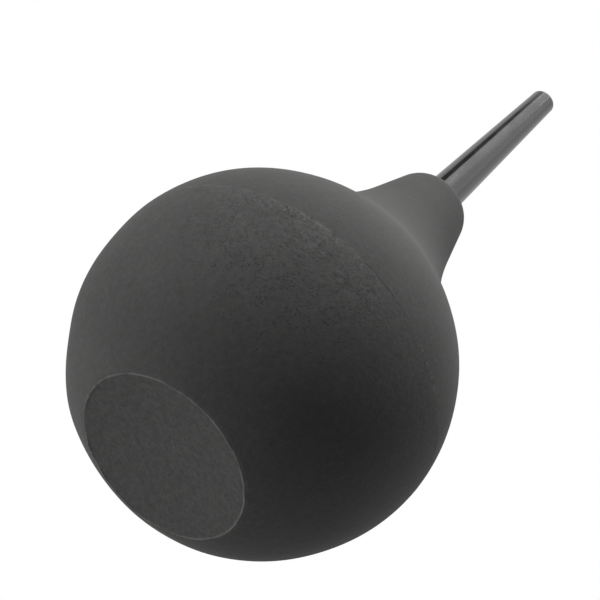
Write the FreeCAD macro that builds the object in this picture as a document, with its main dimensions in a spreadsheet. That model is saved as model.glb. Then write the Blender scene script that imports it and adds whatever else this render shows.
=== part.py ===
import FreeCAD, Part
import math
import os

import Sketcher

# A watchmaker's dust blower: a hollow rubber bulb with a flat base and a flared neck, and a tapered
# plastic nozzle pushed into the neck. It stands on its flat base with the nozzle pointing up +Z, and the
# origin is the centre of that base. Millimetres and degrees.
#
# The bulb is two rubber mouldings that meet at the seam, close to its widest part: a cup with the flat
# base, and a dome that flares into the neck. Every piece is turned about its own Z axis: one section is
# revolved into the outside and a second one is grooved out for the air. The rounds where a flat, the
# neck or the throat runs into a ball are arcs of those sections.

SHEET = "Sizes"

# Each size that can be set by itself, written once: its name in the sheet, its value and what it is.
SIZES = (
    ("bulb_diameter", 56.0, "the bulb across its widest part"),
    ("base_diameter", 26.6, "the flat round base that the thumb presses, out to its sharp corner"),
    ("seam_above_widest", 0.6, "how far the seam lies above the widest part"),
    ("dome_drop", 1.25, "how far under the seam the dome's centre lies, which makes it a little flat"),
    ("rubber_wall", 3.0, "wall of both mouldings"),
    ("base_wall", 4.0, "thickness of the flat base"),
    ("base_edge_round", 0.3, "outer edge of the flat base"),
    ("cup_corner_round", 3.0, "inner corner of the cup"),
    ("neck_length", 22.61, "from the top that the dome would have without a neck to the neck's end"),
    ("neck_end_diameter", 11.6, "the neck at its end, before the lip is rounded"),
    ("neck_taper", 14.0, "slope of the neck's side from the axis, in degrees"),
    ("neck_root_round", 43.0, "hollow curve from the dome into the neck"),
    ("lip_round", 4.3, "rounded end of the neck"),
    ("socket_depth", 16.0, "how deep the nozzle's root sits in the neck"),
    ("socket_clearance", 0.05, "gap all round between the nozzle's root and its socket"),
    ("throat_diameter", 4.0, "air channel through the neck and into the nozzle"),
    ("throat_round", 1.2, "edge where the throat opens into the bulb"),
    ("root_diameter", 6.3, "the nozzle's root, and the thick end of its taper"),
    ("root_chamfer", 0.5, "lead-in at the nozzle's inner end"),
    ("nozzle_reach", 37.3, "length of nozzle that shows beyond the neck"),
    ("tip_diameter", 4.3, "thin end of the nozzle"),
    ("tip_round", 0.35, "outer edge of the nozzle's tip"),
    ("outlet_diameter", 2.2, "straight outlet in the nozzle's tip"),
    ("outlet_length", 8.0, "length of that straight outlet"),
)

# What follows from them, as formulas in the same sheet. Heights in the dome are above the seam.
FORMULAS = (
    ("bulb_radius", "=bulb_diameter / 2"),
    ("base_radius", "=base_diameter / 2"),
    ("cup_inner_radius", "=bulb_radius - rubber_wall"),
    ("widest_height", "=sqrt(bulb_radius ^ 2 - base_radius ^ 2)"),
    ("seam_height", "=widest_height + seam_above_widest"),
    ("seam_radius", "=sqrt(bulb_radius ^ 2 - seam_above_widest ^ 2)"),
    ("dome_radius", "=sqrt(seam_radius ^ 2 + dome_drop ^ 2)"),
    ("dome_inner_radius", "=dome_radius - rubber_wall"),
    ("dome_centre_height", "=-dome_drop"),
    ("neck_height", "=dome_radius - dome_drop + neck_length"),
    ("neck_end_radius", "=neck_end_diameter / 2"),
    ("socket_floor", "=neck_height - socket_depth"),
    ("socket_radius", "=root_diameter / 2 + socket_clearance"),
    ("throat_radius", "=throat_diameter / 2"),
    ("root_radius", "=root_diameter / 2"),
    ("tip_radius", "=tip_diameter / 2"),
    ("nozzle_length", "=socket_depth + nozzle_reach"),
    ("outlet_radius", "=outlet_diameter / 2"),
    ("outlet_floor", "=nozzle_length - outlet_length"),
    ("nozzle_height", "=seam_height + socket_floor"),
)

# Sketcher's numbers for a curve's start, end and centre, and for the sketch's own two axes.
START, END, CENTRE = range(1, 4)
HORIZONTAL_AXIS, VERTICAL_AXIS = range(-1, -3, -1)
ORIGIN = (HORIZONTAL_AXIS, START)

# Lengths that differ by less than this are the same.
SAME = 1e-4

# In a section x is the radius and y the height.
Point = FreeCAD.Vector
OUTWARDS = Point(1, 0)
UPWARDS = Point(0, 1)


def make_sheet(doc):
    """The spreadsheet that holds the sizes and their formulas."""
    sheet = doc.addObject("Spreadsheet::Sheet", SHEET)
    rows = [(name, str(value), note) for name, value, note in SIZES]
    rows += [(name, formula, "follows from the sizes above") for name, formula in FORMULAS]
    for row, (name, content, note) in enumerate(rows, start=1):
        sheet.set(f"A{row}", name)
        sheet.set(f"B{row}", content)
        sheet.set(f"C{row}", note)
        sheet.setAlias(f"B{row}", name)
    doc.recompute()
    return sheet


def circle_at_height(centre, radius, height):
    """The point of a circle about the axis at a height, on the side away from the axis."""
    return Point(math.sqrt(radius**2 - (height - centre.y) ** 2), height)


def circle_towards(centre, radius, point):
    """The point of a circle that lies in the direction of another point."""
    return centre + (point - centre) * (radius / centre.distanceToPoint(point))


def first_meeting(start, direction, centre, radius):
    """Where a line from the start first meets a circle."""
    offset = start - centre
    along = offset.dot(direction)
    half_chord = math.sqrt(along**2 - offset.dot(offset) + radius**2)
    steps = (-along - half_chord, -along + half_chord)
    return start + direction * min(step for step in steps if step > 0)


def origin_part(body, role):
    """One of the body's own origin planes or axes."""
    return next(part for part in body.Origin.OriginFeatures if part.Role == role)


def new_body(doc, label, height_alias=None):
    """An empty body for one piece, set up the Z axis to the height that the sheet gives."""
    body = doc.addObject("PartDesign::Body", label)
    body.Label = label
    if height_alias:
        body.setExpression("Placement.Base.z", f"{SHEET}.{height_alias}")
    return body


class Section:
    """A closed half-section on the body's XZ plane, whose dimensions come from the sheet.

    Curves are laid end to end from a start on the axis, and the last one runs back down the axis."""

    def __init__(self, body, sheet, name, start_height=0.0):
        self.sheet = sheet
        self.sketch = body.newObject("Sketcher::SketchObject", name)
        self.sketch.AttachmentSupport = (origin_part(body, "XZ_Plane"), [""])
        self.sketch.MapMode = "FlatFace"
        self.first_point = Point(0, start_height)
        self.point = self.first_point
        self.curves = []
        self.after_round = False

    def constrain(self, kind, *items):
        return self.sketch.addConstraint(Sketcher.Constraint(kind, *items))

    def chain(self, shape, end, near=START, far=END, smooth=False):
        """Add a curve whose near end joins the last curve's far end."""
        curve = self.sketch.addGeometry(shape, False)
        if self.curves:
            kind = "Tangent" if smooth or self.after_round else "Coincident"
            self.constrain(kind, *self.curves[-1], curve, near)
        self.curves.append((curve, far))
        self.after_round = smooth
        self.point = end
        return curve

    def segment(self, end):
        """A straight piece from the last point, in whatever direction."""
        return self.chain(Part.LineSegment(self.point, end), end)

    def level(self, x):
        """A straight piece at the last point's height."""
        curve = self.segment(Point(x, self.point.y))
        self.constrain("Horizontal", curve)
        return curve

    def upright(self, y):
        """A straight piece at the last point's radius."""
        curve = self.segment(Point(self.point.x, y))
        self.constrain("Vertical", curve)
        return curve

    def arc(self, centre, end):
        """An arc from the last point, anticlockwise about its centre."""
        return self.chain(anticlockwise(centre, self.point, end), end)

    def rounding(self, alias, centre, end):
        """An anticlockwise round that runs smoothly out of the last curve and into the next one."""
        curve = self.chain(anticlockwise(centre, self.point, end), end, smooth=True)
        self.dimension(alias, "Radius", curve)

    def hollow_rounding(self, alias, centre, end):
        """A clockwise round, smooth at both ends."""
        curve = self.chain(anticlockwise(centre, end, self.point), end, END, START, smooth=True)
        self.dimension(alias, "Radius", curve)

    def close_on_axis(self):
        """The piece down the axis to the first point, which stays on the origin if it is there."""
        axis_line = self.segment(self.first_point)
        first_curve = self.curves[0][0]
        self.constrain("Coincident", axis_line, END, first_curve, START)
        self.on_axis(axis_line, START)
        if self.first_point.y == 0:
            self.constrain("Coincident", axis_line, END, *ORIGIN)
        else:
            self.on_axis(axis_line, END)

    def on_axis(self, curve, end):
        self.constrain("PointOnObject", curve, end, VERTICAL_AXIS)

    def dimension(self, alias, kind, *items, unit=""):
        """A dimension that takes its value from the sheet."""
        value = self.sheet.get(alias)
        if kind == "Angle":
            value = math.radians(value)
        index = self.constrain(kind, *items, value)
        self.sketch.renameConstraint(index, alias)
        self.sketch.setExpression(f"Constraints.{alias}", f"{SHEET}.{alias}{unit}")

    def radius_at(self, alias, curve, end):
        self.dimension(alias, "DistanceX", *ORIGIN, curve, end)

    def height_at(self, alias, curve, end):
        self.dimension(alias, "DistanceY", *ORIGIN, curve, end)


def anticlockwise(centre, start, end):
    """The arc that runs anticlockwise from start to end."""
    circle = Part.Circle()
    circle.Center = centre
    circle.Radius = centre.distanceToPoint(end)
    angles = [math.atan2(point.y - centre.y, point.x - centre.x) for point in (start, end)]
    return Part.ArcOfCircle(circle, *angles)


def turn(body, section, kind, name):
    """Revolve the section about its vertical axis, as a Revolution or a Groove."""
    before = body.Shape.Volume if kind == "Groove" else math.inf
    feature = body.newObject(f"PartDesign::{kind}", name)
    feature.Profile = section.sketch
    feature.ReferenceAxis = (section.sketch, ["V_Axis"])
    feature.Angle = 360.0
    section.sketch.Visibility = False
    body.Document.recompute()
    if not 0 < feature.Shape.Volume < before:
        raise RuntimeError(f"{name} makes or cuts nothing")
    return feature


def dress(body, kind, name, feature, height, radius, alias):
    """A Fillet or Chamfer, sized from the sheet, on the ring edge of that height and radius."""
    edges = []
    for number, edge in enumerate(feature.Shape.Edges, start=1):
        if not isinstance(edge.Curve, Part.Circle):
            continue
        level = edge.Curve.Center.z - feature.Shape.Placement.Base.z
        if abs(level - height) < SAME and abs(edge.Curve.Radius - radius) < SAME:
            edges.append(f"Edge{number}")
    if len(edges) != 1:
        raise RuntimeError(f"{name} needs one ring edge and found {len(edges)}")
    dressed = body.newObject(f"PartDesign::{kind}", name)
    dressed.Base = (feature, edges)
    dressed.setExpression("Radius" if kind == "Fillet" else "Size", f"{SHEET}.{alias}")
    body.Document.recompute()
    return dressed


def draw_cup(section, size, floor, ball_radius, wall_alias, round_alias):
    """The cup's section: the flat floor, the round at its edge, and the ball up to the seam."""
    centre = Point(0, size("widest_height"))
    edge_round = size(round_alias)
    start = Point(0, floor + edge_round)
    round_centre = first_meeting(start, OUTWARDS, centre, ball_radius - edge_round)
    section.level(round_centre.x)
    round_end = circle_towards(centre, ball_radius, round_centre)
    section.rounding(round_alias, round_centre, round_end)
    wall = section.arc(centre, circle_at_height(centre, ball_radius, size("seam_height")))
    rim = section.level(0)
    section.close_on_axis()
    section.dimension(wall_alias, "Radius", wall)
    section.on_axis(wall, CENTRE)
    section.height_at("widest_height", wall, CENTRE)
    section.height_at("seam_height", rim, START)


def make_base_half(doc, sheet):
    """The rubber cup: a ball cut off by the flat base, hollow up to the seam."""
    size = sheet.get
    body = new_body(doc, "bulb_base_half")

    outside = Section(body, sheet, "CupOutside")
    draw_cup(outside, size, 0, size("bulb_radius"), "bulb_radius", "base_edge_round")
    turn(body, outside, "Revolution", "Cup")

    inside = Section(body, sheet, "CupInside", size("base_wall"))
    inner_radius = size("cup_inner_radius")
    draw_cup(inside, size, size("base_wall"), inner_radius, "cup_inner_radius", "cup_corner_round")
    floor, floor_end = inside.curves[0]
    inside.height_at("base_wall", floor, floor_end)
    turn(body, inside, "Groove", "Hollow")
    return body


def make_neck_half(doc, sheet):
    """The rubber dome and its neck: solid round the throat, with the nozzle's socket at the end."""
    size = sheet.get
    body = new_body(doc, "bulb_neck_half", "seam_height")
    centre = Point(0, size("dome_centre_height"))
    top = size("neck_height")

    slope = math.radians(size("neck_taper"))
    down_the_side = Point(math.sin(slope), -math.cos(slope))
    off_the_side = Point(math.cos(slope), math.sin(slope))
    neck_end = Point(size("neck_end_radius"), top)
    root_round = size("neck_root_round")
    reach = size("dome_radius") + root_round
    root_centre = first_meeting(neck_end + off_the_side * root_round, down_the_side, centre, reach)

    outside = Section(body, sheet, "DomeOutside")
    outside.level(circle_at_height(centre, size("dome_radius"), 0).x)
    dome = outside.arc(centre, circle_towards(centre, size("dome_radius"), root_centre))
    outside.hollow_rounding("neck_root_round", root_centre, root_centre - off_the_side * root_round)
    side = outside.segment(neck_end)
    end = outside.level(0)
    outside.close_on_axis()
    outside.dimension("dome_radius", "Radius", dome)
    outside.on_axis(dome, CENTRE)
    outside.height_at("dome_centre_height", dome, CENTRE)
    outside.radius_at("neck_end_radius", end, START)
    outside.height_at("neck_height", end, START)
    outside.dimension("neck_taper", "Angle", VERTICAL_AXIS, START, side, START, unit=" * 1 deg")
    neck = turn(body, outside, "Revolution", "DomeAndNeck")
    dress(body, "Fillet", "Lip", neck, top, size("neck_end_radius"), "lip_round")

    throat_round = size("throat_round")
    throat_side = Point(size("throat_radius") + throat_round, 0)
    reach = size("dome_inner_radius") + throat_round
    edge_centre = first_meeting(throat_side, UPWARDS, centre, reach)

    inside = Section(body, sheet, "AirWay")
    inside.level(circle_at_height(centre, size("dome_inner_radius"), 0).x)
    vault = inside.arc(centre, circle_towards(centre, size("dome_inner_radius"), edge_centre))
    inside.hollow_rounding("throat_round", edge_centre, edge_centre - OUTWARDS * throat_round)
    throat = inside.upright(size("socket_floor"))
    inside.level(size("socket_radius"))
    socket = inside.upright(top)
    inside.level(0)
    inside.close_on_axis()
    inside.dimension("dome_inner_radius", "Radius", vault)
    inside.on_axis(vault, CENTRE)
    inside.height_at("dome_centre_height", vault, CENTRE)
    inside.radius_at("throat_radius", throat, END)
    inside.height_at("socket_floor", throat, END)
    inside.radius_at("socket_radius", socket, END)
    inside.height_at("neck_height", socket, END)
    turn(body, inside, "Groove", "Hollow")
    return body


def make_nozzle(doc, sheet):
    """The plastic tube: a plain root in the socket, then a straight taper to the tip."""
    size = sheet.get
    body = new_body(doc, "nozzle", "nozzle_height")
    length = size("nozzle_length")

    outside = Section(body, sheet, "TubeOutside")
    outside.level(size("root_radius"))
    root = outside.upright(size("socket_depth"))
    taper = outside.segment(Point(size("tip_radius"), length))
    outside.level(0)
    outside.close_on_axis()
    outside.radius_at("root_radius", root, START)
    outside.height_at("socket_depth", root, END)
    outside.radius_at("tip_radius", taper, END)
    outside.height_at("nozzle_length", taper, END)
    tube = turn(body, outside, "Revolution", "Tube")
    tip = dress(body, "Fillet", "TipEdge", tube, length, size("tip_radius"), "tip_round")
    dress(body, "Chamfer", "LeadIn", tip, 0, size("root_radius"), "root_chamfer")

    inside = Section(body, sheet, "AirChannel")
    inlet = inside.level(size("throat_radius"))
    channel = inside.segment(Point(size("outlet_radius"), size("outlet_floor")))
    outlet = inside.upright(length)
    inside.level(0)
    inside.close_on_axis()
    inside.radius_at("throat_radius", inlet, END)
    inside.radius_at("outlet_radius", channel, END)
    inside.height_at("outlet_floor", channel, END)
    inside.height_at("nozzle_length", outlet, END)
    turn(body, inside, "Groove", "Channel")
    return body


def check(doc):
    """Stop if any object failed, or any piece is empty, in several solids or not valid."""
    for item in doc.Objects:
        if "Invalid" in item.State or "Error" in item.State:
            raise RuntimeError(f"{item.Name} is {item.State}")
        if item.TypeId == "Sketcher::SketchObject" and item.solve() != 0:
            raise RuntimeError(f"{item.Name} does not solve")
        if item.TypeId == "PartDesign::Body":
            shape = item.Shape
            if shape.isNull() or not shape.isValid() or len(shape.Solids) != 1:
                raise RuntimeError(f"{item.Name} is not one valid solid")


def write(body):
    """Write one piece as parts/LABEL.step."""
    shape = body.Shape
    shape.exportStep(os.path.join("parts", f"{body.Label}.step"))
    heights = f"z {shape.BoundBox.ZMin:.2f} to {shape.BoundBox.ZMax:.2f}"
    print(f"{body.Label}: {shape.Volume:.0f} mm3, {heights}, {len(shape.Faces)} faces")


def main():
    os.makedirs("parts", exist_ok=True)
    doc = FreeCAD.newDocument("DustBlower")
    sheet = make_sheet(doc)
    bodies = [make(doc, sheet) for make in (make_base_half, make_neck_half, make_nozzle)]
    check(doc)
    for body in bodies:
        write(body)


main()
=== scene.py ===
# %% [markdown]
# # A watchmaker's dust blower
#
# The blower is a hollow rubber bulb with a thin plastic nozzle. A squeeze sends a puff of clean air through
# the nozzle, which lifts dust off a watch movement without anything touching it.
#
# Its shape is plain, so it lives or dies by three things: one smooth outline that runs from ball to neck,
# a rubber skin that is pitted on one half and silky on the other, and light that rolls off a very dark
# matt surface. The cells below take them in that order.

import math

import bmesh
import bpy
from mathutils import Matrix, Quaternion, Vector, noise


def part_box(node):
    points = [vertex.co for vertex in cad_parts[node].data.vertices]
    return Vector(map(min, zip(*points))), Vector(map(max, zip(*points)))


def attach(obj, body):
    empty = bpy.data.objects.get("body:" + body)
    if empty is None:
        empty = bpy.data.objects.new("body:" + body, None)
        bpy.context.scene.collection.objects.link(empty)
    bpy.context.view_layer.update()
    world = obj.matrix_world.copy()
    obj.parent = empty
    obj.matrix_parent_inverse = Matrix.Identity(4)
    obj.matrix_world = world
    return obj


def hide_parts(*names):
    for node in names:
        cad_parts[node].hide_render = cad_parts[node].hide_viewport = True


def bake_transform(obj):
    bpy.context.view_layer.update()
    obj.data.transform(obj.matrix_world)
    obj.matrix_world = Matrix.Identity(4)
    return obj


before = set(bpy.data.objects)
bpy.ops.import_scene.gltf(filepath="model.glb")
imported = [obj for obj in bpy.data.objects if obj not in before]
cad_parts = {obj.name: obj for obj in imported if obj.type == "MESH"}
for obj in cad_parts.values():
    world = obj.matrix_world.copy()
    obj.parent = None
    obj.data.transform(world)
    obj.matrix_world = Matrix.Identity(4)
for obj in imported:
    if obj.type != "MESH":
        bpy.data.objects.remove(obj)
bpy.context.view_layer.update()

# %% [markdown]
# ## Where things are
#
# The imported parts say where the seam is, where the nozzle starts and where its tip is. The neck ends one
# socket above the nozzle's foot. So the skins drawn here always meet the parts. Sections are drawn in
# millimetres, which are easy to read, and scaled to Blender's metres when they are turned.

# %% Heights along the axis, in millimetres
MM = 0.001
BALL = 28.0


def top_of(node):
    """The height of a node's upper end, in millimetres."""
    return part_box(node)[1].z / MM


SEAM = top_of("bulb_base_half")
TIP = top_of("nozzle")
NOZZLE_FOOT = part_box("nozzle")[0].z / MM
SOCKET_DEPTH = 16.0
NECK_END = NOZZLE_FOOT + SOCKET_DEPTH
print(f"seam at {SEAM:.2f}, neck ends at {NECK_END:.2f}, nozzle from {NOZZLE_FOOT:.2f} to {TIP:.2f} mm")

# %% [markdown]
# ## Drawing a section and turning it
#
# Everything on this tool was made round: the moulds were turned on a lathe, and so are our meshes. A section
# is drawn as a chain of edges in the XZ plane. A straight run extrudes the last vertex. An arc spins it
# about its centre, so a round of 3 mm is really round, and it always ends where the angle says.
#
# Turning the chain about Z then gives the skin. A vertex on the axis turns into a stack of copies, which are
# merged into one pole. After that the normals are worked out again, because a full spin can leave them
# pointing inwards. Each point also keeps a note of where it rests, which the cup's material reads later, so
# that its grain would stay on the skin if the cup were squashed, as the real one is when the bulb is
# squeezed.


# %% A section that is drawn point by point
class Section:
    """A chain of edges in the XZ plane, in millimetres."""

    def __init__(self, radius, height):
        self.drawing = bmesh.new()
        self.first = self.last = self.drawing.verts.new((radius, 0, height))

    def run(self, radius, height, steps=1):
        """Straight edges from the last point to a new one."""
        start, end = self.last.co.copy(), Vector((radius, 0, height))
        for step in range(1, steps + 1):
            self.last = bmesh.ops.extrude_vert_indiv(self.drawing, verts=[self.last])["verts"][0]
            self.last.co = start.lerp(end, step / steps)

    def swing(self, centre, degrees, steps):
        """An arc about a centre, anticlockwise when degrees is positive."""
        spun = bmesh.ops.spin(
            self.drawing,
            geom=[self.last],
            cent=(centre[0], 0, centre[1]),
            axis=(0, -1, 0),
            dvec=(0, 0, 0),
            angle=math.radians(degrees),
            steps=steps,
            use_merge=False,
            use_duplicate=False,
        )
        self.last = next(item for item in spun["geom_last"] if isinstance(item, bmesh.types.BMVert))

    def close(self):
        """The edge from the last point back to the first."""
        self.drawing.edges.new((self.last, self.first))

    def turn(self, steps):
        """Spin the chain a full turn about Z, close its poles and point its faces outwards."""
        drawing = self.drawing
        bmesh.ops.spin(
            drawing,
            geom=drawing.verts[:] + drawing.edges[:],
            cent=(0, 0, 0),
            axis=(0, 0, 1),
            dvec=(0, 0, 0),
            angle=math.tau,
            steps=steps,
            use_merge=True,
            use_duplicate=False,
        )
        bmesh.ops.remove_doubles(drawing, verts=drawing.verts, dist=1e-4)
        bmesh.ops.recalc_face_normals(drawing, faces=drawing.faces)
        return drawing


# %% From a drawing to a piece
def make_piece(drawing, name):
    """A smooth object in metres, whose points remember where they rest."""
    bmesh.ops.scale(drawing, vec=(MM, MM, MM), verts=drawing.verts)
    mesh = bpy.data.meshes.new(name)
    drawing.to_mesh(mesh)
    drawing.free()
    mesh.shade_smooth()
    rest = mesh.attributes.new("rest_place", "FLOAT_VECTOR", "POINT")
    for vertex, stored in zip(mesh.vertices, rest.data):
        stored.vector = vertex.co
    piece = bpy.data.objects.new(name, mesh)
    bpy.context.scene.collection.objects.link(piece)
    corners = sum(len(face.vertices) for face in mesh.polygons)
    print(f"{name}: {len(mesh.polygons)} faces, {2 * len(mesh.edges) - corners} open edges")
    return piece


def angle_on(centre_height, radius, height):
    """Degrees above the horizontal at which a circle about the axis reaches a height."""
    return math.degrees(math.asin((height - centre_height) / radius))


# %% [markdown]
# ## The seam
#
# The two halves of the bulb are moulded apart and vulcanised together. The joint can hardly be seen on most
# of the bulb: rubber flows into the groove and fills it flush. Here it stays open as a hair line, there it
# stands proud as a soft ridge, and in a few places a speck of flash was torn away and left a nick.
#
# So each half gets a tiny rounded edge of 0.07 mm, which alone would leave an even groove all the way round,
# and a rule says how full that groove is at each angle about the axis. 0 is open, 1 is flush and more is a
# ridge. A slow noise makes it uneven, and a short list holds the stretches and nicks that stand out.

# %% How full the seam's groove is
SEAM_ROUND = 0.07
SEAM_NOISE = 0.2
SEAM_WAVE = 1.3
# Angle about the axis in degrees, reach in degrees, and what it adds to the fill.
SEAM_MARKS = (
    (222, 9.0, 0.5),
    (248.5, 0.5, 1.2),
    (250, 0.8, -2.6),
    (254, 0.5, -1.2),
    (257.5, 0.8, -1.8),
    (262, 0.7, -1.6),
    (270, 1.6, -0.8),
    (279, 7.0, -1.1),
    (296, 0.8, 0.6),
    (332, 12.0, 0.3),
    (40, 25.0, -0.5),
    (110, 8.0, 0.5),
)


def seam_fill(azimuth):
    """How full the groove is at an angle in degrees."""
    turned = math.radians(azimuth)
    place = Vector((math.cos(turned), math.sin(turned), 0)) * BALL / SEAM_WAVE
    fill = 1.0 + SEAM_NOISE * noise.noise(place)
    for middle, reach, amount in SEAM_MARKS:
        away = (azimuth - middle + 180) % 360 - 180
        fill += amount * math.exp(-((away / reach) ** 2))
    return fill


def fill_seam(drawing, ring_radius):
    """Move the points of the small round at the seam out or in, by the rule above."""
    moved = 0
    for vertex in drawing.verts:
        radius = math.hypot(vertex.co.x, vertex.co.y)
        depth = ring_radius - radius
        if abs(vertex.co.z - SEAM) > SEAM_ROUND * 1.01 or depth > SEAM_ROUND * 1.1:
            continue
        azimuth = math.degrees(math.atan2(vertex.co.y, vertex.co.x)) % 360
        grown = 1 + depth * seam_fill(azimuth) / radius
        vertex.co.x *= grown
        vertex.co.y *= grown
        moved += 1
    print(f"seam: {moved} points moved")


# %% [markdown]
# ## The cup
#
# The lower half of the bulb is a ball of 56 mm cut off by a flat base. The base is a shallow dish half a
# millimetre deep, as moulded rubber faces are: the rubber shrinks as it cools, and most where it is thick.
# Round it runs a rim a tenth of a millimetre high and a quarter wide, the hair of rubber that was squeezed
# out between the mould and its bottom plate.
#
# Short runs on each side of a small round hold the smooth shading, so that the dish keeps its shape right up
# to its edge. The inside is drawn too, at the real 3 mm wall.

# %% Draw and turn the cup
BASE = 13.3
WALL = 3.0
BASE_WALL = 4.0
RIM_HEIGHT = 0.1
DISH_RADIUS = 12.92
DISH_DEPTH = 0.5
DISH_EDGE = 0.02
RIM_MIDDLE = 13.16
# Steps away from the rim's middle and heights of the points that draw it.
RIM_SECTION = ((-0.16, 0.06), (-0.08, 0.012), (0, 0), (0.08, 0.012), (0.17, 0.06))
BALL_FROM = 0.2
CUP_STEPS = 600

ball_height = math.sqrt(BALL**2 - BASE**2)
ball_centre = (0, ball_height)
dish_curve = (DISH_RADIUS**2 + DISH_DEPTH**2) / (2 * DISH_DEPTH)
dish_centre = (0, RIM_HEIGHT + DISH_DEPTH - dish_curve)
dish_angle = math.degrees(math.asin(DISH_RADIUS / dish_curve))

cup_section = Section(0, RIM_HEIGHT + DISH_DEPTH)
cup_section.swing(dish_centre, -dish_angle * (1 - DISH_EDGE), 12)
cup_section.swing(dish_centre, -dish_angle * DISH_EDGE, 1)
for step, height in RIM_SECTION:
    cup_section.run(RIM_MIDDLE + step, height)
lowest = angle_on(ball_height, BALL, BALL_FROM)
cup_section.run(BALL * math.cos(math.radians(lowest)), BALL_FROM)
highest = angle_on(ball_height, BALL, SEAM - SEAM_ROUND)
cup_section.swing(ball_centre, 0.2, 1)
cup_section.swing(ball_centre, highest - lowest - 0.3, 56)
cup_section.swing(ball_centre, 0.1, 1)
edge = cup_section.last.co.copy()
cup_section.swing((edge.x - SEAM_ROUND, edge.z), 90, 4)
inner_ball = BALL - WALL
inner_top = angle_on(ball_height, inner_ball, SEAM)
cup_section.run(inner_ball * math.cos(math.radians(inner_top)), SEAM)
cup_section.swing(ball_centre, angle_on(ball_height, inner_ball, BASE_WALL) - inner_top, 16)
cup_section.run(0, BASE_WALL, steps=4)
cup_drawing = cup_section.turn(CUP_STEPS)
seam_radius = math.sqrt(BALL**2 - (SEAM - ball_height) ** 2)
fill_seam(cup_drawing, seam_radius)

# %% [markdown]
# ## Uneven, as rubber is
#
# A ball from a lathe is perfect and looks like a drawing. The real one was pulled warm from its mould and
# kept a few shallow swellings of a tenth or two of a millimetre, which show as a slightly restless outline.
# They are rounded hills added along the ball's own directions, so they bend the surface and leave its
# edges alone. The rim round the dish gets the same treatment on a smaller scale: it is a torn edge, so it
# wanders in and out by a few hundredths and has a few specks left standing.

# %% Swell the ball and fray the rim
# Angle about the axis and angle above the level, in degrees. Height in millimetres. Reach in degrees.
SWELLINGS = (
    (229, 32, -0.06, 9),
    (207, 18, 0.07, 12),
    (181, -9, -0.13, 9),
    (156, -32, -0.19, 8),
    (134, -44, 0.2, 9),
    (98, -52, -0.2, 8),
    (48, -44, 0.06, 9),
    (14, -22, -0.11, 13),
    (331, 21, -0.04, 10),
    (305, 35, -0.04, 8),
)
SWELL_FROM = 3.0
RIM_INSIDE = 12.95
RIM_WANDER = 0.03
RIM_WAVE = 0.8


def swell(drawing):
    """Add the rounded hills to the outer skin of one half, growing from the base up."""
    centre = Vector((0, 0, ball_height))
    hills = []
    for azimuth, raised, height, reach in SWELLINGS:
        level = math.cos(math.radians(raised))
        turned = math.radians(azimuth)
        way = Vector((math.cos(turned) * level, math.sin(turned) * level, math.sin(math.radians(raised))))
        hills.append((way, height, math.radians(reach)))
    for vertex in drawing.verts:
        arm = vertex.co - centre
        if arm.length < BALL - WALL / 2:
            continue
        way = arm.normalized()
        rise = sum(height * math.exp(-((way.angle(hill) / reach) ** 2)) for hill, height, reach in hills)
        vertex.co += way * rise * min(1, vertex.co.z / SWELL_FROM)


def fray_rim(drawing):
    """Let the rim round the dish wander in and out, and stand up a little in places."""
    for vertex in drawing.verts:
        radius = math.hypot(vertex.co.x, vertex.co.y)
        if vertex.co.z > RIM_HEIGHT * 0.7 or radius < RIM_INSIDE:
            continue
        wander = 1 + RIM_WANDER * noise.noise(vertex.co / RIM_WAVE) / radius
        vertex.co.x *= wander
        vertex.co.y *= wander
        vertex.co.z += RIM_HEIGHT * max(0, 0.2 - 1.2 * noise.noise(vertex.co / (RIM_WAVE * 3)))


fray_rim(cup_drawing)
swell(cup_drawing)
cup = make_piece(cup_drawing, "cup_skin")

# %% [markdown]
# ## The dome and neck
#
# The upper half is one flowing line: a ball that is a little flatter than the cup, a long hollow curve of
# 43 mm radius, a short cone, and a lip rounded over to the nozzle. Each arc is tangent to the next, so
# their centres are worked out instead of guessed: the hollow curve's centre is one of its own radii away
# from both the ball and the side of the cone.

# %% Work out the tangent arcs of the neck
DOME_DROP = 1.25
NECK_END_RADIUS = 5.8
TAPER = math.radians(14.0)
ROOT_ROUND = 43.0
LIP_ROUND = 4.3
LIP_EDGE = 0.06
SOCKET = 3.17
THROAT = 2.0

dome = math.hypot(seam_radius, DOME_DROP)
dome_centre = Vector((0, SEAM - DOME_DROP))
off_side = Vector((math.cos(TAPER), math.sin(TAPER)))
down_side = Vector((math.sin(TAPER), -math.cos(TAPER)))
from_centre = Vector((NECK_END_RADIUS, NECK_END)) + off_side * ROOT_ROUND - dome_centre
along = from_centre.dot(down_side)
down = -along - math.sqrt(along**2 - from_centre.length_squared + (dome + ROOT_ROUND) ** 2)
root_centre = dome_centre + from_centre + down_side * down
root_angle = math.degrees(math.atan2(root_centre.y - dome_centre.y, root_centre.x))
lip_inset = LIP_ROUND * (1 / math.cos(TAPER) - math.tan(TAPER))
lip_centre = Vector((NECK_END_RADIUS - lip_inset, NECK_END - LIP_ROUND))
print(f"dome radius {dome:.2f}, hollow curve centred at {root_centre.x:.2f}, {root_centre.y:.2f} mm")

# %% Draw and turn the dome
DOME_STEPS = 600

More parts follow.
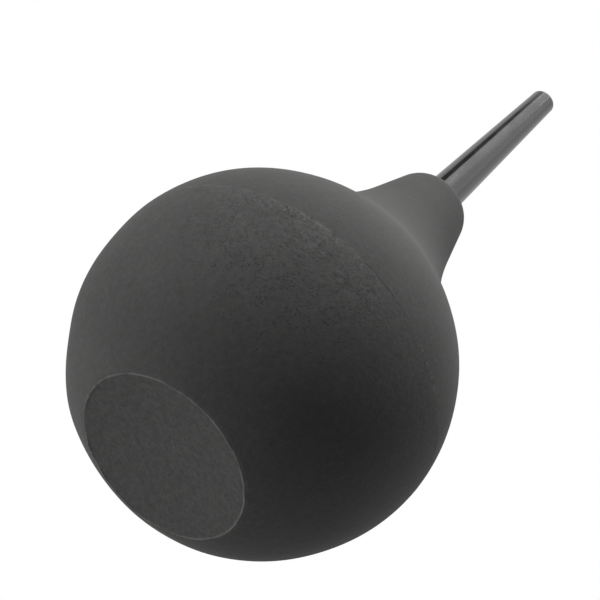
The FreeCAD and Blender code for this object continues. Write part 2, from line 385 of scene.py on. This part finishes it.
start_angle = angle_on(dome_centre.y, dome, SEAM + SEAM_ROUND)
edge = Vector((dome * math.cos(math.radians(start_angle)), SEAM + SEAM_ROUND))
dome_section = Section(edge.x - SEAM_ROUND, SEAM)
dome_section.swing((edge.x - SEAM_ROUND, edge.y), 90, 4)
dome_section.swing(dome_centre, 0.1, 1)
dome_section.swing(dome_centre, 0.9, 4)
dome_section.swing(dome_centre, root_angle - start_angle - 1.0, 40)
dome_section.swing(root_centre, math.degrees(TAPER) - root_angle, 20)
side_end = lip_centre + off_side * LIP_ROUND
dome_section.run(side_end.x, side_end.y, steps=6)
dome_section.swing(lip_centre, 90 - math.degrees(TAPER), 14)
dome_section.run(SOCKET, NECK_END - LIP_EDGE)
shoulder = NECK_END - SOCKET_DEPTH
dome_section.run(SOCKET, shoulder, steps=6)
dome_section.run(THROAT, shoulder)
inner_dome = dome - WALL
throat_angle = math.degrees(math.acos(THROAT / inner_dome))
vault = dome_centre.y + inner_dome * math.sin(math.radians(throat_angle))
dome_section.run(THROAT, vault, steps=3)
dome_section.swing(dome_centre, angle_on(dome_centre.y, inner_dome, SEAM) - throat_angle, 16)
dome_section.close()
dome_drawing = dome_section.turn(DOME_STEPS)
fill_seam(dome_drawing, seam_radius)
swell(dome_drawing)
dome_skin = make_piece(dome_drawing, "dome_skin")

# %% [markdown]
# ## The nozzle
#
# The nozzle is a moulded tube: straight where the rubber grips it, then tapered to the tip, with a tapered
# channel inside and a short straight outlet. A tube this small shows its wall only at the tip, where a
# rounded ring surrounds the hole.

# %% Draw and turn the nozzle
ROOT = 3.15
TIP_RADIUS = 2.15
TIP_ROUND = 0.35
TIP_SUPPORT = 0.06
OUTLET = 1.1
OUTLET_ROUND = 0.15
OUTLET_LENGTH = 8.0
ROOT_CHAMFER = 0.5
NOZZLE_STEPS = 160

taper = math.atan2(ROOT - TIP_RADIUS, TIP - NECK_END)
tip_inset = TIP_ROUND * (1 / math.cos(taper) - math.tan(taper))
tip_centre = Vector((TIP_RADIUS - tip_inset, TIP - TIP_ROUND))
taper_end = tip_centre + Vector((math.cos(taper), math.sin(taper))) * TIP_ROUND
tube_section = Section(THROAT, NOZZLE_FOOT)
tube_section.run(ROOT - ROOT_CHAMFER, NOZZLE_FOOT)
tube_section.run(ROOT, NOZZLE_FOOT + ROOT_CHAMFER)
tube_section.run(ROOT, NECK_END, steps=8)
before_end = taper_end - Vector((-math.sin(taper), math.cos(taper))) * TIP_SUPPORT
tube_section.run(before_end.x, before_end.y, steps=24)
tube_section.run(taper_end.x, taper_end.y)
tube_section.swing(tip_centre, 90 - math.degrees(taper), 12)
tube_section.run(OUTLET + OUTLET_ROUND, TIP)
tube_section.swing((OUTLET + OUTLET_ROUND, TIP - OUTLET_ROUND), 90, 4)
tube_section.run(OUTLET, TIP - OUTLET_LENGTH, steps=6)
tube_section.run(THROAT, NOZZLE_FOOT, steps=16)
nozzle = make_piece(tube_section.turn(NOZZLE_STEPS), "nozzle_tube")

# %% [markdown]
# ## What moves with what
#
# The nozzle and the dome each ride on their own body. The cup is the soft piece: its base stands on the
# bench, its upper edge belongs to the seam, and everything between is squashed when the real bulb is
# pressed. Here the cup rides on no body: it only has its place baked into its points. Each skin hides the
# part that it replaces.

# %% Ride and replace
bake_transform(cup)
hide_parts("bulb_base_half")
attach(dome_skin, "neck")
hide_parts("bulb_neck_half")
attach(nozzle, "nozzle")
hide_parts("nozzle")

# %% [markdown]
# ## Building materials from nodes
#
# A material is a small network: places on the surface go in, numbers and colours come out. Three helpers
# keep the cells below readable. `add` makes a node and fills its inputs with numbers or with other nodes'
# outputs, `maths` does one sum, and `ease` brings a value from one range to another with soft ends.
#
# Effects that more than one material uses are node groups. A group only puts out values that change over
# the surface. The shader itself stays in each material, with the numbers that never change set on its own
# sockets.


# %% Helpers for nodes
def add(tree, kind, inputs=None, **settings):
    """A new node. Each input is given by name or place, as a number, a colour or another node's output."""
    node = tree.nodes.new("ShaderNode" + kind)
    for name, value in settings.items():
        setattr(node, name, value)
    for name, value in (inputs or {}).items():
        if isinstance(value, bpy.types.NodeSocket):
            tree.links.new(value, node.inputs[name])
        else:
            node.inputs[name].default_value = value
    return node


def maths(tree, operation, *values, clamp=False):
    """One sum, as an output to plug in elsewhere."""
    return add(tree, "Math", dict(enumerate(values)), operation=operation, use_clamp=clamp).outputs[0]


def ease(tree, value, low, high, to_low=0.0, to_high=1.0):
    """A value brought softly from the range low to high to another range, and held beyond it."""
    ends = {"Value": value, "From Min": low, "From Max": high, "To Min": to_low, "To Max": to_high}
    return add(tree, "MapRange", ends, interpolation_type="SMOOTHSTEP").outputs["Result"]


def cloud(tree, place, scale, detail=2.0, roughness=0.5):
    """Soft noise from 0 to 1, with a number of lumps per millimetre."""
    wanted = {"Vector": place, "Scale": scale, "Detail": detail, "Roughness": roughness}
    return add(tree, "TexNoise", wanted).outputs["Fac"]


def stretch(tree, place, along_z):
    """Places whose height is multiplied, which flattens a pattern along Z."""
    return add(tree, "Mapping", {"Vector": place, "Scale": (1, 1, along_z)}).outputs["Vector"]


def new_group(name, inputs, outputs):
    """An empty node group with its sockets. Returns it with its entry and exit nodes."""
    group = bpy.data.node_groups.new(name, "ShaderNodeTree")
    for title, value in inputs.items():
        kind = "NodeSocketVector" if value is None else "NodeSocketFloat"
        socket = group.interface.new_socket(title, in_out="INPUT", socket_type=kind)
        if value is not None:
            socket.default_value = value
    for title in outputs:
        group.interface.new_socket(title, in_out="OUTPUT", socket_type="NodeSocketFloat")
    return group, group.nodes.new("NodeGroupInput").outputs, group.nodes.new("NodeGroupOutput").inputs


def place_group(tree, group, **inputs):
    """A node group put to work in a material. Returns its outputs."""
    node = tree.nodes.new("ShaderNodeGroup")
    node.node_tree = group
    for name, value in inputs.items():
        if isinstance(value, bpy.types.NodeSocket):
            tree.links.new(value, node.inputs[name])
        else:
            node.inputs[name].default_value = value
    return node.outputs


# %% [markdown]
# ## The grain of moulded rubber
#
# Matt black rubber is never one tone. Close up it is a fine felt of light and dark specks a fifth of a
# millimetre across, with no direction of its own. Larger, cloudy patches keep it from being even.
#
# `Strength` says how rough the skin is, so that one group serves the coarse cup and the silky dome. The
# group gives a tone to multiply the colour by, which stays around 1, and a height for the bump.

# %% Group: rubber grain
FELT_GAIN = 1.0
PATCH_GAIN = 0.22


def around(tree, value, gain, amount):
    """A value around 0.5 turned into one around 0, times a gain and a changing amount."""
    return maths(tree, "MULTIPLY", maths(tree, "MULTIPLY_ADD", value, gain, -gain / 2), amount)


grain_group, entry, result = new_group(
    "rubber_grain", {"Place": None, "Strength": 1.0, "Mottle": 1.0}, ("Tone", "Height")
)
felt = cloud(grain_group, entry["Place"], 1.25, detail=2.0, roughness=0.75)
patches = cloud(grain_group, entry["Place"], 0.16, detail=3.0)
lift = around(grain_group, felt, FELT_GAIN, entry["Strength"])
drift = around(grain_group, patches, PATCH_GAIN, entry["Mottle"])
tone = maths(grain_group, "ADD", maths(grain_group, "ADD", lift, drift), 1.0)
grain_group.links.new(tone, result["Tone"])
grain_group.links.new(maths(grain_group, "MULTIPLY", felt, entry["Strength"]), result["Height"])

# %% [markdown]
# ## Pits and specks
#
# Air caught against the mould leaves pits, and lint leaves pale specks. Both are small, uneven and
# scattered, which is what the low ends of a noise look like: where it dips under a limit there is a mark,
# and the lower the limit the fewer there are. `Chance` moves that limit. A pit has no even outline, and
# where there are many they run together into short strokes, as they do near the seam.

# %% Group: scattered marks
RAREST = 0.25
COMMON = 0.17
MARK_EDGE = 0.05

marks_group, entry, result = new_group("scattered_marks", {"Place": None, "Chance": 0.5}, ("Mark",))
lumps = cloud(marks_group, entry["Place"], 2.6, detail=1.0, roughness=0.6)
limit = maths(marks_group, "MULTIPLY_ADD", entry["Chance"], COMMON, RAREST)
above = maths(marks_group, "ADD", limit, MARK_EDGE)
below = maths(marks_group, "SUBTRACT", limit, MARK_EDGE)
marks_group.links.new(ease(marks_group, lumps, above, below), result["Mark"])

# %% [markdown]
# ## Worn edges
#
# Sharp edges of rubber turn grey: they rub on the bench, and dust clings to them. The group takes a mask
# that says where the edge is, breaks it up with noise so that the wear comes and goes, and leaves a few
# bright specks where a crumb of rubber stands up.

# %% Group: worn edge
wear_group, entry, result = new_group("worn_edge", {"Place": None, "Edge": 0.0, "Least": 0.5}, ("Wear",))
come_and_go = ease(wear_group, cloud(wear_group, entry["Place"], 0.3, detail=3.0), 0.4, 0.6)
spread = maths(wear_group, "MULTIPLY", come_and_go, maths(wear_group, "SUBTRACT", 1.0, entry["Least"]))
crumbs = ease(wear_group, cloud(wear_group, entry["Place"], 1.7, detail=1.0), 0.68, 0.74)
amount = maths(wear_group, "ADD", maths(wear_group, "ADD", spread, entry["Least"]), crumbs)
wear_group.links.new(maths(wear_group, "MULTIPLY", amount, entry["Edge"]), result["Wear"])


# %% Helpers for the two rubbers
def new_material(name, **constants):
    """A material and its Principled shader, with the numbers that never change."""
    material = bpy.data.materials.new(name)
    material.use_nodes = True
    shader = material.node_tree.nodes["Principled BSDF"]
    for title, value in constants.items():
        shader.inputs[title.replace("_", " ")].default_value = value
    return material, material.node_tree, shader.inputs


def in_millimetres(tree, place):
    """Places in millimetres instead of metres."""
    return add(tree, "VectorMath", {0: place, "Scale": 1 / MM}, operation="SCALE").outputs["Vector"]


def tinted(tree, colour, tone):
    """A colour multiplied by a tone."""
    return add(tree, "VectorMath", {0: colour, "Scale": tone}, operation="SCALE").outputs["Vector"]


def towards(tree, amount, start, end):
    """A colour that goes from one to another as the amount goes from 0 to 1."""
    wanted = {"Factor": amount, 6: start, 7: end}
    return add(tree, "Mix", wanted, data_type="RGBA", clamp_factor=True).outputs[2]


# %% [markdown]
# ## The cup's pitted rubber
#
# Four things tell the cup from the dome: a coarse grain, pits that thicken towards the seam on one side,
# crumbly flecks along the seam, and the worn rim round the dish. The colour itself is even, but for patches
# near the seam on the pitted side, which are made a little paler, and for the pits, which are darkened with
# painted shade. The rest of the light and dark on the ball comes from the lamps.
#
# Its places come from `rest_place`, the note that each point keeps of where it rests. The height above
# the base says how near the seam a place is, its distance from the axis finds the rim, and a dot product
# with a direction says which side it is on.

# %% Material: pitted rubber
RUBBER = (0.085, 0.0845, 0.0835)
WORN = (0.21, 0.21, 0.205, 1)
LINT = (0.17, 0.17, 0.165, 1)
# Directions from the axis, or from the middle of the ball, towards the sides that carry marks.
PITTED_SIDE = Vector((-0.29, -0.96, 0))
MOST_PITTED = Vector((-0.33, -0.93, -0.16))
CRUMBLY_SIDE = Vector((-0.26, -0.97, 0))
SCUFFED_SIDE = Vector((-0.57, -0.82, 0))
FLECKED_SIDE = Vector((0.62, -0.78, 0))
# The strength of the grain on the ball, and what the pitted side and the flat base add to it.
CUP_GRAIN = 0.55
PITTED_GRAIN = 0.6
BASE_GRAIN = 0.3
# How much each mark changes the colour, where it is full.
PALER = 0.14
# PIT_SHADE is painted shade: it darkens the colour inside the pits.
PIT_SHADE = 0.25
LINT_SHOWS = 0.5
RIM_SHOWS = 0.6
SEAM_SHOWS = 0.3
FLECKS_SHOW = 0.8
# How likely lint and flecks are, on the scale of the marks group.
LINT_CHANCE = -0.12
FLECK_CHANCE = 0.85
PIT_DEPTH = 0.25
CUP_RELIEF = 0.11
CUP_ROUGHNESS = (0.2, 0.9, 0.8, 0.92)


def part_towards(tree, place, direction, low, high, to_low, to_high):
    """A value that eases from one end to the other with how far a place lies along a direction."""
    far = add(tree, "VectorMath", {0: place, 1: direction}, operation="DOT_PRODUCT").outputs["Value"]
    return ease(tree, far, low, high, to_low, to_high)


def seam_band(tree, height, low, high):
    """A mask round the seam, 1 within the low distance from it and 0 beyond the high one."""
    away = maths(tree, "ABSOLUTE", maths(tree, "SUBTRACT", height, SEAM))
    return ease(tree, away, high, low)


def worn_seam(tree, place, level_place, height):
    """Grey wear along the seam's edge, on the scuffed side of the bulb."""
    scuffed = part_towards(tree, level_place, SCUFFED_SIDE, 22.0, 27.0, 0.0, 1.0)
    edge = maths(tree, "MULTIPLY", seam_band(tree, height, 0.05, 0.45), scuffed)
    return place_group(tree, wear_group, Place=place, Edge=edge, Least=0.15)["Wear"]


def dress_rubber(tree, shader, skin, grain, pits, roughness, relief):
    """Plug in the colour, and let the height of grain and pits drive roughness and bump."""
    tree.links.new(skin, shader["Base Color"])
    tree.links.new(ease(tree, grain["Height"], *roughness), shader["Roughness"])
    height = maths(tree, "MULTIPLY_ADD", pits["Mark"], -PIT_DEPTH, grain["Height"])
    bump = add(tree, "Bump", {"Height": height, "Distance": relief * MM, "Strength": 1.0})
    tree.links.new(bump.outputs["Normal"], shader["Normal"])


pitted_rubber, tree, shader = new_material("pitted_rubber", Specular_IOR_Level=0.06)
place = in_millimetres(tree, add(tree, "Attribute", attribute_name="rest_place").outputs["Vector"])
from_middle = add(tree, "VectorMath", {0: place, 1: (0, 0, -ball_height)}, operation="ADD")
from_middle = from_middle.outputs["Vector"]
axes = add(tree, "SeparateXYZ", {0: place}).outputs
level_place = add(tree, "CombineXYZ", {"X": axes["X"], "Y": axes["Y"]}).outputs["Vector"]
radius = add(tree, "VectorMath", {0: level_place}, operation="LENGTH").outputs["Value"]
on_ball = ease(tree, radius, RIM_MIDDLE + 0.04, RIM_MIDDLE + 0.3)

one_side = part_towards(tree, level_place, PITTED_SIDE, 22.0, 27.5, 0.08, 1.0)
patchy = ease(tree, cloud(tree, place, 0.13), 0.36, 0.6, 0.45, 1.0)
near_seam = ease(tree, axes["Z"], 8.0, SEAM - 3.0)
roughened = maths(tree, "MULTIPLY", maths(tree, "MULTIPLY", near_seam, one_side), patchy)

strength = maths(tree, "MULTIPLY_ADD", roughened, PITTED_GRAIN, CUP_GRAIN)
strength = maths(tree, "ADD", strength, ease(tree, on_ball, 0.0, 1.0, BASE_GRAIN, 0.0))
mottle = ease(tree, on_ball, 0.0, 1.0, 0.4, 1.0)
grain = place_group(tree, grain_group, Place=place, Strength=strength, Mottle=mottle)

clusters = ease(tree, cloud(tree, place, 0.38, detail=1.0), 0.4, 0.58, 0.3, 1.0)
most_pitted = part_towards(tree, from_middle, MOST_PITTED, 21.5, 27.0, 0.0, 1.0)
chance = maths(tree, "MULTIPLY", most_pitted, clusters)
pits = place_group(tree, marks_group, Place=place, Chance=chance)
elsewhere = add(tree, "VectorMath", {0: place, 1: (50, 50, 50)}, operation="ADD").outputs["Vector"]
lint = place_group(tree, marks_group, Place=elsewhere, Chance=LINT_CHANCE)

rim = ease(tree, maths(tree, "ABSOLUTE", maths(tree, "SUBTRACT", radius, RIM_MIDDLE)), 0.22, 0.08)
rim = maths(tree, "MULTIPLY", rim, ease(tree, axes["Z"], 0.5, 0.25))
rim_wear = place_group(tree, wear_group, Place=place, Edge=rim, Least=0.3)["Wear"]
seam_wear = worn_seam(tree, place, level_place, axes["Z"])

flecks = place_group(tree, marks_group, Place=elsewhere, Chance=FLECK_CHANCE)["Mark"]
flecked = part_towards(tree, level_place, FLECKED_SIDE, 25.5, 27.5, 0.0, 1.0)
flecked = maths(tree, "MULTIPLY", flecked, seam_band(tree, axes["Z"], 0.1, 0.4))
crumbly = part_towards(tree, level_place, CRUMBLY_SIDE, 25.5, 27.5, 0.0, 0.5)
crumbly = maths(tree, "MULTIPLY", crumbly, seam_band(tree, axes["Z"], 0.3, 1.8))
flecked = maths(tree, "MULTIPLY", flecks, maths(tree, "ADD", flecked, crumbly))

skin = tinted(tree, RUBBER, grain["Tone"])
# Patches near the seam on the pitted side are made 14% paler in colour.
skin = tinted(tree, skin, maths(tree, "MULTIPLY_ADD", roughened, PALER, 1.0))
# Painted shade: the pits are darkened in colour, on top of their bump.
skin = tinted(tree, skin, maths(tree, "MULTIPLY_ADD", pits["Mark"], -PIT_SHADE, 1.0))
skin = towards(tree, maths(tree, "MULTIPLY", lint["Mark"], LINT_SHOWS), skin, LINT)
skin = towards(tree, maths(tree, "MULTIPLY", rim_wear, RIM_SHOWS), skin, WORN)
skin = towards(tree, maths(tree, "MULTIPLY", seam_wear, SEAM_SHOWS), skin, WORN)
skin = towards(tree, maths(tree, "MULTIPLY", flecked, FLECKS_SHOW), skin, WORN)
dress_rubber(tree, shader, skin, grain, pits, CUP_ROUGHNESS, CUP_RELIEF)
cup.data.materials.append(pitted_rubber)
print("pitted_rubber:", len(tree.nodes), "nodes")

# %% [markdown]
# ## The dome's smooth rubber
#
# The dome came out of a better polished mould: the same rubber with hardly any pits, and a grain that fades
# as the neck goes up, until the lip is almost silky. It never bends, so plain object coordinates will do.

# %% Material: smooth rubber
# DOME_PIT_SHADE is painted shade: it darkens the colour inside the dome's few pits.
DOME_PIT_SHADE = 0.2
DOME_RELIEF = 0.09
DOME_ROUGHNESS = (0.1, 0.5, 0.76, 0.86)
# The grain at the seam and 18 mm above it.
DOME_GRAIN = (0.5, 0.25)

smooth_rubber, tree, shader = new_material("smooth_rubber", Specular_IOR_Level=0.06)
place = in_millimetres(tree, add(tree, "TexCoord").outputs["Object"])
axes = add(tree, "SeparateXYZ", {0: place}).outputs
level_place = add(tree, "CombineXYZ", {"X": axes["X"], "Y": axes["Y"]}).outputs["Vector"]
one_side = part_towards(tree, level_place, PITTED_SIDE, 12.0, 27.0, 0.2, 1.0)
fading = ease(tree, axes["Z"], SEAM, SEAM + 18.0, *DOME_GRAIN)
grain = place_group(tree, grain_group, Place=place, Strength=fading, Mottle=0.7)
chance = maths(tree, "MULTIPLY", ease(tree, axes["Z"], SEAM + 6.0, SEAM, 0.0, 0.35), one_side)
pits = place_group(tree, marks_group, Place=place, Chance=chance)
seam_wear = worn_seam(tree, place, level_place, axes["Z"])

skin = tinted(tree, RUBBER, grain["Tone"])
# Painted shade: the dome's pits are darkened in colour, on top of their bump.
skin = tinted(tree, skin, maths(tree, "MULTIPLY_ADD", pits["Mark"], -DOME_PIT_SHADE, 1.0))
skin = towards(tree, maths(tree, "MULTIPLY", seam_wear, SEAM_SHOWS), skin, WORN)
dress_rubber(tree, shader, skin, grain, pits, DOME_ROUGHNESS, DOME_RELIEF)
dome_skin.data.materials.append(smooth_rubber)
print("smooth_rubber:", len(tree.nodes), "nodes")

# %% [markdown]
# ## The nozzle's black plastic
#
# The nozzle is the one glossy thing on the tool. Nearly all that is seen on it is a reflection, so its
# own colour is almost black. What keeps it from looking like glass is its surface: faint lengthwise lines
# from the polished core of the mould, a roughness that is not quite even, and a ring at the tip that is
# rougher and a little greyer from being knocked about.

# %% Material: nozzle plastic
PLASTIC = (0.006, 0.006, 0.0058)
KNOCKED = (0.12, 0.12, 0.118, 1)
KNOCKS_SHOW = 0.15
KNOCKS_ROUGHEN = 0.1
EVEN_GLOSS = (0.1, 0.15)
# The ring of rougher plastic starts and is full this far below the tip.
RING_FROM = 0.5
RING_FULL = 0.38
RING_ROUGHNESS = 0.5

nozzle_plastic, tree, shader = new_material("nozzle_plastic", Specular_IOR_Level=1.0, IOR=1.58)
place = in_millimetres(tree, add(tree, "TexCoord").outputs["Object"])
level = add(tree, "SeparateXYZ", {0: place}).outputs["Z"]
drawn = cloud(tree, stretch(tree, place, 0.03), 2.2, detail=3.0)
smears = cloud(tree, stretch(tree, place, 0.4), 0.5, detail=3.0)
tip_edge = ease(tree, level, TIP - 0.7, TIP - 0.1)
wear = place_group(tree, wear_group, Place=place, Edge=tip_edge, Least=0.2)
tone = maths(tree, "ADD", 0.85, maths(tree, "MULTIPLY", smears, 0.3))
knocks = maths(tree, "MULTIPLY", wear["Wear"], KNOCKS_SHOW)
skin = towards(tree, knocks, tinted(tree, PLASTIC, tone), KNOCKED)
tree.links.new(skin, shader["Base Color"])
gloss = ease(tree, smears, 0.3, 0.7, *EVEN_GLOSS)
gloss = maths(tree, "ADD", gloss, maths(tree, "MULTIPLY", wear["Wear"], KNOCKS_ROUGHEN))
ring = ease(tree, level, TIP - RING_FROM, TIP - RING_FULL, 0.0, RING_ROUGHNESS)
gloss = maths(tree, "ADD", gloss, ring)
tree.links.new(gloss, shader["Roughness"])
bump = add(tree, "Bump", {"Height": drawn, "Distance": 0.002 * MM, "Strength": 1.0})
tree.links.new(bump.outputs["Normal"], shader["Normal"])
nozzle.data.materials.append(nozzle_plastic)
print("nozzle_plastic:", len(tree.nodes), "nodes")

# %% [markdown]
# ## A floor that is only a floor from above
#
# The blower is looked at from below, with its base turned to the camera, as if it lay on its side and
# hung in white air. A floor under it would be in the way. This one is there for eyes above it, where it
# is pale and takes the object's shadow. Further out it fades into the white of the world, so that no edge
# shows. From below, and for the light of the lamps, it is clear.

# %% Floor
FLOOR_RADIUS = 4.0
FLOOR_GAP = 0.2
PAPER = (0.82, 0.82, 0.82, 1)
FADE_FROM = 0.12
FADE_TO = 0.7

floor_drawing = bmesh.new()
bmesh.ops.create_circle(floor_drawing, cap_ends=True, segments=128, radius=FLOOR_RADIUS)
bmesh.ops.translate(floor_drawing, vec=(0, 0, -FLOOR_GAP * MM), verts=floor_drawing.verts)
floor_mesh = bpy.data.meshes.new("floor")
floor_drawing.to_mesh(floor_mesh)
floor_drawing.free()
floor = bpy.data.objects.new("floor", floor_mesh)
bpy.context.scene.collection.objects.link(floor)

pale_floor, tree, shader = new_material("pale_floor", Base_Color=PAPER, Roughness=0.9)
ray = add(tree, "LightPath").outputs
backfacing = add(tree, "NewGeometry").outputs["Backfacing"]
from_above = maths(tree, "SUBTRACT", ray["Is Camera Ray"], backfacing, clamp=True)
paper = tree.nodes["Principled BSDF"].outputs["BSDF"]
on_floor = add(tree, "TexCoord").outputs["Object"]
away = add(tree, "VectorMath", {0: on_floor}, operation="LENGTH").outputs["Value"]
white = add(tree, "Emission", {"Color": (1, 1, 1, 1), "Strength": 1.0}).outputs["Emission"]
faded = ease(tree, away, FADE_FROM, FADE_TO)
fading = add(tree, "MixShader", {0: faded, 1: paper, 2: white}).outputs["Shader"]
clear = add(tree, "BsdfTransparent").outputs["BSDF"]
either = add(tree, "MixShader", {0: from_above, 1: clear, 2: fading})
tree.links.new(either.outputs["Shader"], tree.nodes["Material Output"].inputs["Surface"])
floor.data.materials.append(pale_floor)

# %% [markdown]
# ## White air and soft lamps
#
# The world is white to the camera and in reflections, and gives hardly any light of its own, so that the
# lamps alone shape the ball.

# %% World
AMBIENT = 0.092

world = bpy.data.worlds.new("studio")
bpy.context.scene.world = world
world.use_nodes = True
tree = world.node_tree
ray = add(tree, "LightPath").outputs
seen = maths(tree, "MAXIMUM", ray["Is Camera Ray"], ray["Is Glossy Ray"])
seen = maths(tree, "MAXIMUM", seen, ray["Is Transmission Ray"])
dim = tree.nodes["Background"]
dim.inputs["Color"].default_value = (1, 1, 1, 1)
dim.inputs["Strength"].default_value = AMBIENT
white = add(tree, "Background", {"Color": (1, 1, 1, 1), "Strength": 1.0})
either = add(tree, "MixShader", {0: seen, 1: dim.outputs[0], 2: white.outputs[0]})
tree.links.new(either.outputs["Shader"], tree.nodes["World Output"].inputs["Surface"])

# %% [markdown]
# ## Cards for the nozzle
#
# A glossy tube shows what stands round it, and in a white world that is nothing but white. A black card
# on one side draws a dark stripe along it, and two grey ones calm its other sides. Only reflections meet
# the cards, and each is darker than the white that it hides, so they take reflected light away and add
# none.

# %% Cards that only reflections see
# Angle about the axis, distance, width, lower and upper edge in metres, and how light the card is.
CARDS = {
    "black_card": (-76, 0.35, 0.22, 0.42, 0.6, 0.1),
    "grey_card": (110, 0.35, 1.0, 0.3, 1.3, 0.78),
    "dim_card": (-128, 0.35, 0.5, 0.3, 1.3, 0.8),
}


def reflected_card(name, azimuth, distance, width, low, high, lightness):
    """An upright card beside the nozzle, which only glossy rays can meet."""
    drawing = bmesh.new()
    bmesh.ops.create_grid(drawing, x_segments=1, y_segments=1, size=0.5)
    bmesh.ops.scale(drawing, vec=(width, high - low, 1), verts=drawing.verts)
    bmesh.ops.rotate(drawing, matrix=Matrix.Rotation(math.radians(90), 3, "X"), verts=drawing.verts)
    bmesh.ops.translate(drawing, vec=(0, -distance, (high + low) / 2), verts=drawing.verts)
    bmesh.ops.rotate(drawing, matrix=Matrix.Rotation(math.radians(azimuth), 3, "Z"), verts=drawing.verts)
    mesh = bpy.data.meshes.new(name)
    drawing.to_mesh(mesh)
    drawing.free()
    card = bpy.data.objects.new(name, mesh)
    bpy.context.scene.collection.objects.link(card)
    card.visible_camera = card.visible_diffuse = card.visible_shadow = card.visible_transmission = False
    paint, tree, shader = new_material(name, Base_Color=(0, 0, 0, 1), Specular_IOR_Level=0.0)
    shader["Emission Color"].default_value = (lightness, lightness, lightness, 1)
    shader["Emission Strength"].default_value = 1.0
    card.data.materials.append(paint)


for name, settings in CARDS.items():
    reflected_card(name, *settings)

# %% [markdown]
# ## Lamps
#
# Two large lamps above draw the broad, soft light on the upper side, and a weak one between them lights the
# nozzle. Two from low on the left lift that side out of the dark, and two on the right keep the far edge
# from sinking into black. Their places are listed below. Their powers were worked out together, by least
# squares.

# %% Lamps
LAMP_DISTANCE = 0.6
AIM = Vector((0, 0, 0.04))
# Azimuth and elevation in degrees, where azimuth 0 is from -Y, then width in metres and power in watts.
LAMPS = {
    "key_low": (-30, 36, 0.26, 2.91),
    "key_high": (-22, 80, 0.36, 1.9),
    "strip": (-32, 55, 0.36, 0.108),
    "left_low": (-110, -38, 0.6, 2.78),
    "left_back": (-130, -24, 0.45, 0.58),
    "under": (122, -28, 0.45, 0.55),
    "right": (98, 32, 0.4, 0.79),
}


def direction(azimuth, elevation):
    """The direction from the object towards a lamp or the camera."""
    turned, raised = math.radians(azimuth), math.radians(elevation)
    level = math.cos(raised)
    return Vector((math.sin(turned) * level, -math.cos(turned) * level, math.sin(raised)))


def softbox(name, azimuth, elevation, width, power):
    """A square lamp that faces the bulb."""
    lamp = bpy.data.lights.new(name, "AREA")
    lamp.size = width
    lamp.energy = power
    stand = bpy.data.objects.new(name, lamp)
    away = direction(azimuth, elevation)
    stand.location = AIM + away * LAMP_DISTANCE
    stand.rotation_euler = away.to_track_quat("Z", "Y").to_euler()
    bpy.context.scene.collection.objects.link(stand)


for name, settings in LAMPS.items():
    softbox(name, *settings)
print("lamps:", len(LAMPS))

# %% [markdown]
# ## Camera
#
# The camera looks up at the base from nearly thirty centimetres away, and is rolled by about half a right
# angle, so that the tool lies across the picture.

# %% Camera
CAMERA_AIM = Vector((-3.126, 0.031, 38.177)) * MM
CAMERA_AZIMUTH = -0.847
CAMERA_ELEVATION = -43.010
CAMERA_ROLL = 47.429
CAMERA_DISTANCE = 0.2885
LENS = 117.836

lens = bpy.data.cameras.new("camera")
lens.lens = LENS
lens.sensor_width = 36.0
lens.clip_start = 0.01
camera = bpy.data.objects.new("camera", lens)
to_camera = direction(-CAMERA_AZIMUTH, CAMERA_ELEVATION)
camera.location = CAMERA_AIM + to_camera * CAMERA_DISTANCE
camera.rotation_mode = "QUATERNION"
upright = to_camera.to_track_quat("Z", "Y")
camera.rotation_quaternion = upright @ Quaternion((0, 0, 1), math.radians(CAMERA_ROLL))
bpy.context.scene.collection.objects.link(camera)
bpy.context.scene.camera = camera
bpy.context.scene.view_settings.view_transform = "Standard"
